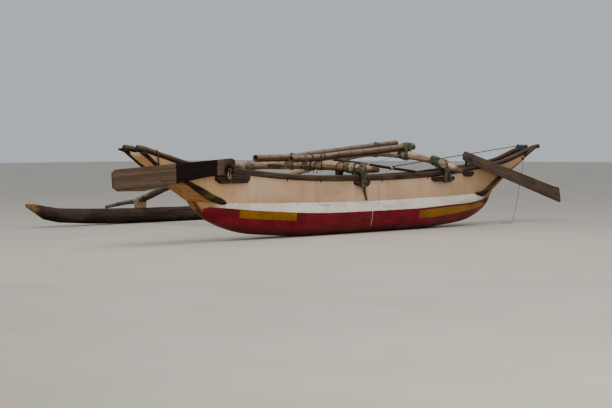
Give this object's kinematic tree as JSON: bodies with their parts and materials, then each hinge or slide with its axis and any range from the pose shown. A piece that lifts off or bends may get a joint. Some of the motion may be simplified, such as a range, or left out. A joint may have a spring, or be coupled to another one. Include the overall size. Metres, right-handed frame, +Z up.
{
  "type": "outrigger canoe",
  "caption": "Double-ended dugout outrigger canoe with planked washstrakes, arched booms lashed across the rails to a log float, laid-down masts and hinged steering paddles.",
  "frame": {"origin": "centre of the flat of the keel amidships, at ground height", "axes": "+X along the hull towards the end at the right of the picture, +Y from the hull to the float, +Z up"},
  "size_m": [11.27, 6.81, 1.5196],
  "materials": {
    "red_paint": "painted wood: deep crimson, satin and worn, with yellow panels",
    "washstrake": "weathered tan plank with brown staining",
    "stem_wood": "ochre-tan carved wood, worn",
    "dark_wood": "dark grey-brown weathered timber",
    "thwart_wood": "grey-brown plank",
    "boom_wood": "barked pale timber, grey weathered",
    "bamboo": "grey-brown weathered bamboo with nodes",
    "float_wood": "near-black wet-stained log",
    "paddle_wood": "dark weathered board",
    "rope": "laid fibre rope, faded",
    "cord": "thin dark line"
  },
  "bodies": {
    "canoe": {"boom_left_inner": "boom_wood", "boom_left_outer_a": "bamboo", "boom_left_outer_b": "bamboo", "boom_right": "boom_wood", "cleat_boom_left_far": "dark_wood", "cleat_boom_left_near": "dark_wood", "cleat_boom_right_far": "dark_wood", "cleat_boom_right_near": "dark_wood", "cleat_paddle_left": "dark_wood", "cleat_paddle_right": "dark_wood", "edge_strip_left_far": "dark_wood", "edge_strip_left_near": "dark_wood", "edge_strip_right_far": "dark_wood", "edge_strip_right_near": "dark_wood", "edge_strip_right_tip": "dark_wood", "end_board_left": "washstrake", "end_board_right": "washstrake", "float_block_left": "boom_wood", "float_block_right": "boom_wood", "float_log": "float_wood", "grommet_left": "rope", "grommet_right": "rope", "hanging_line": "cord", "log_bottom_left": "red_paint", "log_bottom_middle": "red_paint", "log_bottom_right": "red_paint", "log_horn_left": "red_paint", "log_horn_right": "red_paint", "log_side_left_far": "red_paint", "log_side_left_near": "red_paint", "log_side_middle_far": "red_paint", "log_side_middle_near": "red_paint", "log_side_right_far": "red_paint", "log_side_right_near": "red_paint", "mast_far": "bamboo", "mast_near": "bamboo", "rail_left_far": "dark_wood", "rail_left_near": "dark_wood", "rail_middle_far": "dark_wood", "rail_middle_near": "dark_wood", "rail_right_far": "dark_wood", "rail_right_near": "dark_wood", "saddle_left_far": "dark_wood", "saddle_left_near": "dark_wood", "saddle_right_near": "dark_wood", "stay_line": "cord", "stem_head_left": "stem_wood", "stem_head_right": "stem_wood", "thin_spar": "dark_wood", "thwart_1": "thwart_wood", "thwart_2": "thwart_wood", "thwart_3": "thwart_wood", "thwart_4": "thwart_wood", "washstrake_far": "washstrake", "washstrake_near": "washstrake"},
    "steering_paddle_left": {"paddle_left": "paddle_wood"},
    "steering_paddle_right": {"paddle_right": "paddle_wood"}
  },
  "joints": [
    {"name": "paddle_left_pivot", "type": "hinge", "parent": "canoe", "child": "steering_paddle_left", "pos_m": [-3.408, -0.292, 1.068], "axis": [0, 1, 0], "range_deg": [-65, 20]},
    {"name": "paddle_right_pivot", "type": "hinge", "parent": "canoe", "child": "steering_paddle_right", "pos_m": [2.687, -0.292, 1.179], "axis": [0, 1, 0], "range_deg": [-25, 60]}
  ]
}
